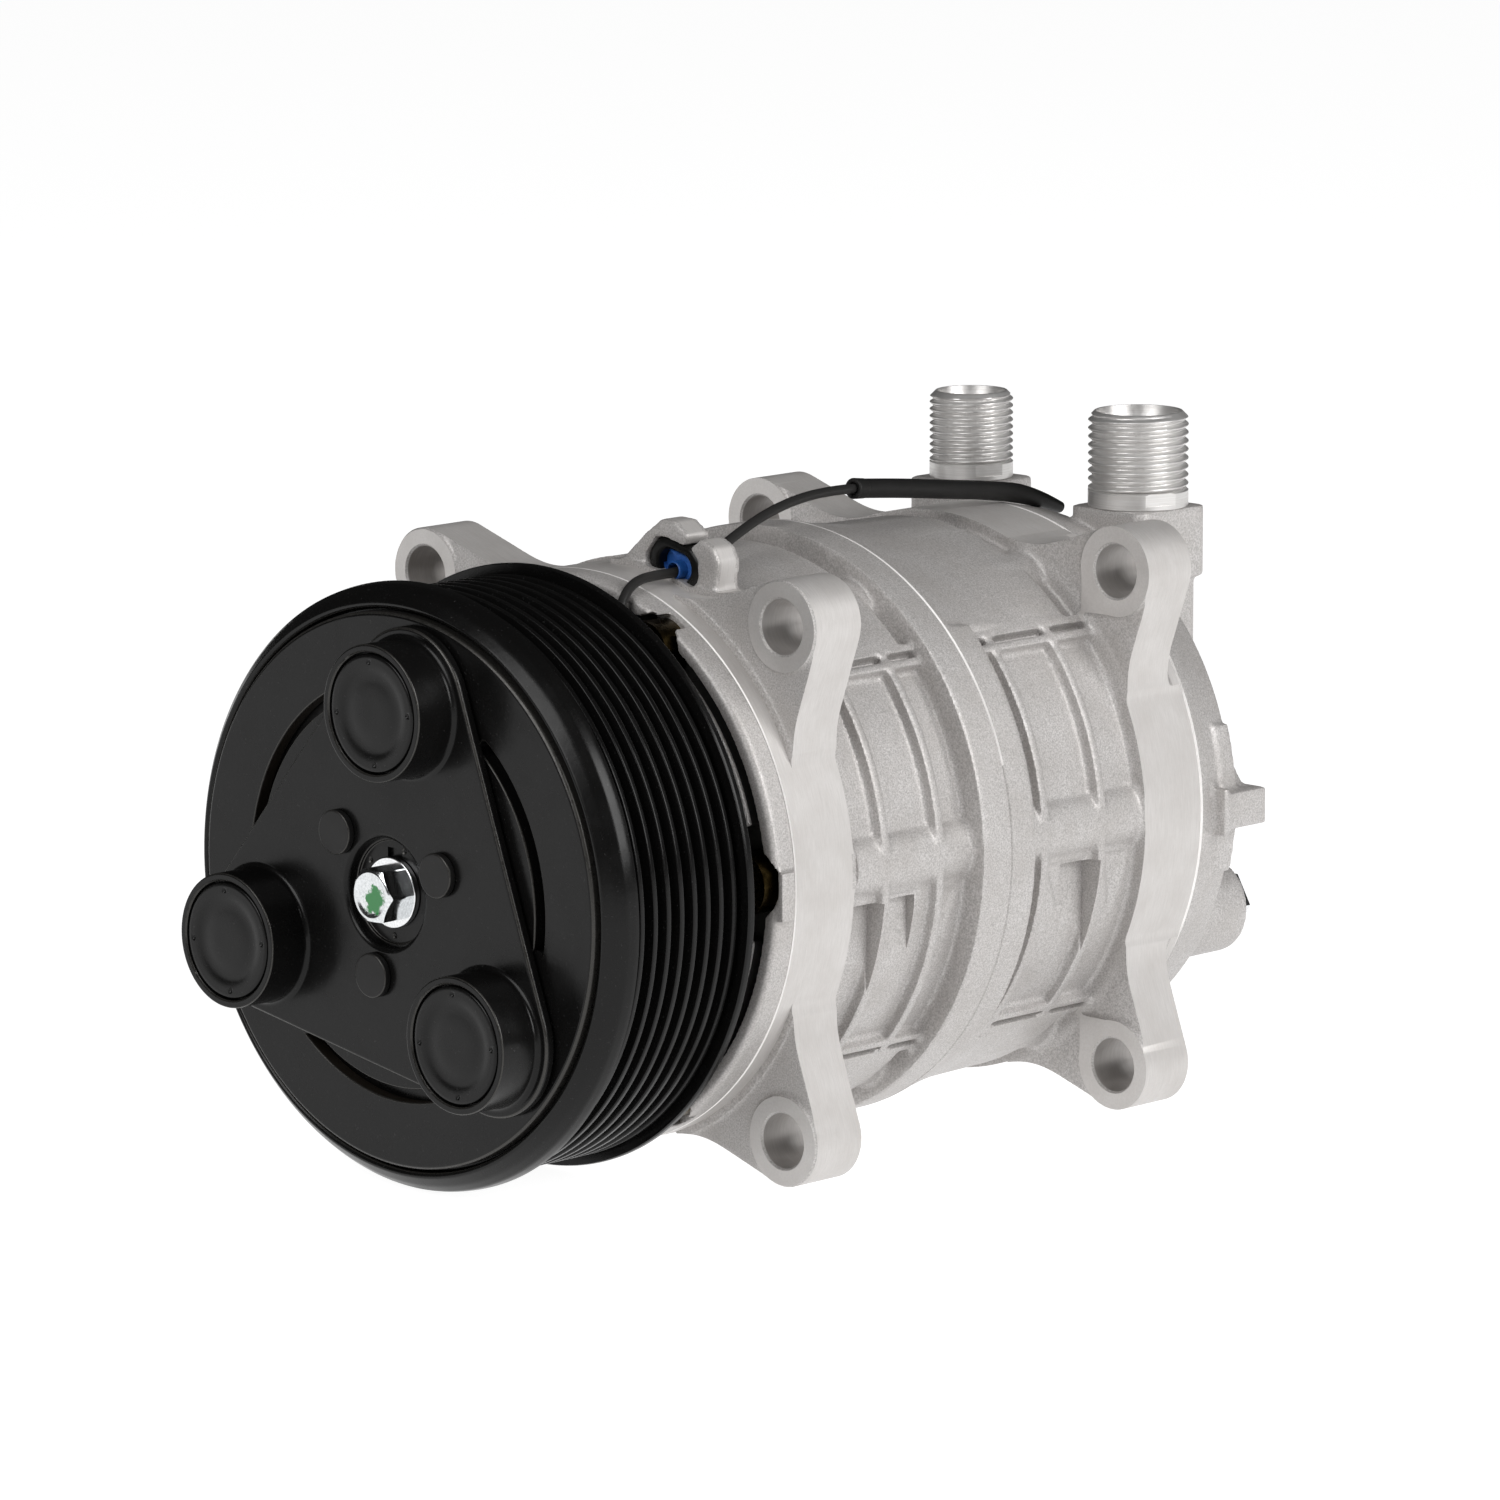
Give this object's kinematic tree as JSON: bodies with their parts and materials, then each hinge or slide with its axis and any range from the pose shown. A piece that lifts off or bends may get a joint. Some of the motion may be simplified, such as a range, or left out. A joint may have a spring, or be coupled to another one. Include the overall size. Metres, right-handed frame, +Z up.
{
  "type": "automotive AC compressor",
  "caption": "Swash-plate vehicle air-conditioning compressor with a multi-rib electromagnetic clutch, ear mounts front and rear, and two vertical threaded ports.",
  "frame": {"origin": "on the shaft axis in the plane of the front ears' front faces, at the centre of the front ear bolt pattern", "axes": "+Y along the shaft from the clutch to the rear head, +Z up towards the two port fittings, +X to the right when looking along +Y"},
  "size_m": [0.1216, 0.212, 0.1381],
  "materials": {
    "cast_aluminium": "sandblasted as-cast aluminium, milled on its faces",
    "machined_aluminium": "bright turned aluminium",
    "black_coat": "semi-gloss black e-coat",
    "zinc_steel": "clear zinc plated steel",
    "bearing_steel": "ground bearing steel",
    "spring_steel": "blued spring steel",
    "sintered_steel": "machined steel",
    "black_rubber": "matt black rubber",
    "blue_rubber": "blue silicone rubber",
    "cable_sheath": "black cable insulation",
    "heat_shrink": "black heat-shrink sleeve",
    "coil_resin": "brown potting resin over copper",
    "gasket_grey": "coated gasket sheet",
    "ptfe": "filled PTFE"
  },
  "bodies": {
    "casing": {"bearing_inner_ring": "bearing_steel", "block_dowels": "bearing_steel", "block_o_ring": "black_rubber", "coil_housing": "black_coat", "coil_lead_boot": "black_rubber", "coil_winding": "coil_resin", "discharge_fitting": "machined_aluminium", "front_block": "cast_aluminium", "front_discharge_reeds": "spring_steel", "front_head": "cast_aluminium", "front_head_gasket": "gasket_grey", "front_needle_bearing": "bearing_steel", "front_suction_reeds": "spring_steel", "front_thrust_bearing": "bearing_steel", "front_valve_plate": "sintered_steel", "grommet_insert": "blue_rubber", "lead_grommet": "black_rubber", "lead_wire": "cable_sheath", "nose_circlip": "spring_steel", "piston_rings": "ptfe", "pistons": "machined_aluminium", "rear_block": "cast_aluminium", "rear_discharge_reeds": "spring_steel", "rear_head": "cast_aluminium", "rear_head_gasket": "gasket_grey", "rear_needle_bearing": "bearing_steel", "rear_suction_reeds": "spring_steel", "rear_thrust_bearing": "bearing_steel", "rear_valve_plate": "sintered_steel", "relief_valve": "zinc_steel", "seal_circlip": "spring_steel", "shaft_seal": "black_rubber", "suction_fitting": "machined_aluminium", "swash_plate": "sintered_steel", "swash_shoes": "sintered_steel", "through_bolts": "zinc_steel", "wire_sleeve": "heat_shrink"},
    "pulley": {"pulley": "black_coat", "bearing_outer_ring": "bearing_steel", "bearing_seals": "black_rubber", "bearing_circlip": "spring_steel"},
    "ball_cage": {"bearing_balls": "bearing_steel", "bearing_cages": "sintered_steel"},
    "drive": {"shaft": "bearing_steel", "hub_boss": "black_coat", "hub_plate": "black_coat", "hub_rivets": "black_coat", "damper_rubbers": "black_rubber", "hub_washer": "zinc_steel", "hub_bolt": "zinc_steel", "clutch_shim": "spring_steel", "drive_key": "bearing_steel"},
    "armature": {"armature_plate": "black_coat", "damper_pins": "black_coat"}
  },
  "joints": [
    {"name": "pulley_spin", "type": "hinge", "parent": "casing", "child": "pulley", "pos_m": [0, -0.0335, 0], "axis": [0, 1, 0], "continuous": true},
    {"name": "ball_cage_spin", "type": "hinge", "parent": "casing", "child": "ball_cage", "pos_m": [0, -0.0335, 0], "axis": [0, 1, 0], "continuous": true},
    {"name": "shaft_spin", "type": "hinge", "parent": "casing", "child": "drive", "pos_m": [0, 0, 0], "axis": [0, 1, 0], "continuous": true},
    {"name": "armature_pull", "type": "slide", "parent": "drive", "child": "armature", "axis": [0, 1, 0], "range_m": [0, 0.0004], "stiffness_N_per_m": 20000}
  ],
  "couplings": [
    {"joint": "ball_cage_spin", "follows": "pulley_spin", "ratio": 0.5667}
  ]
}
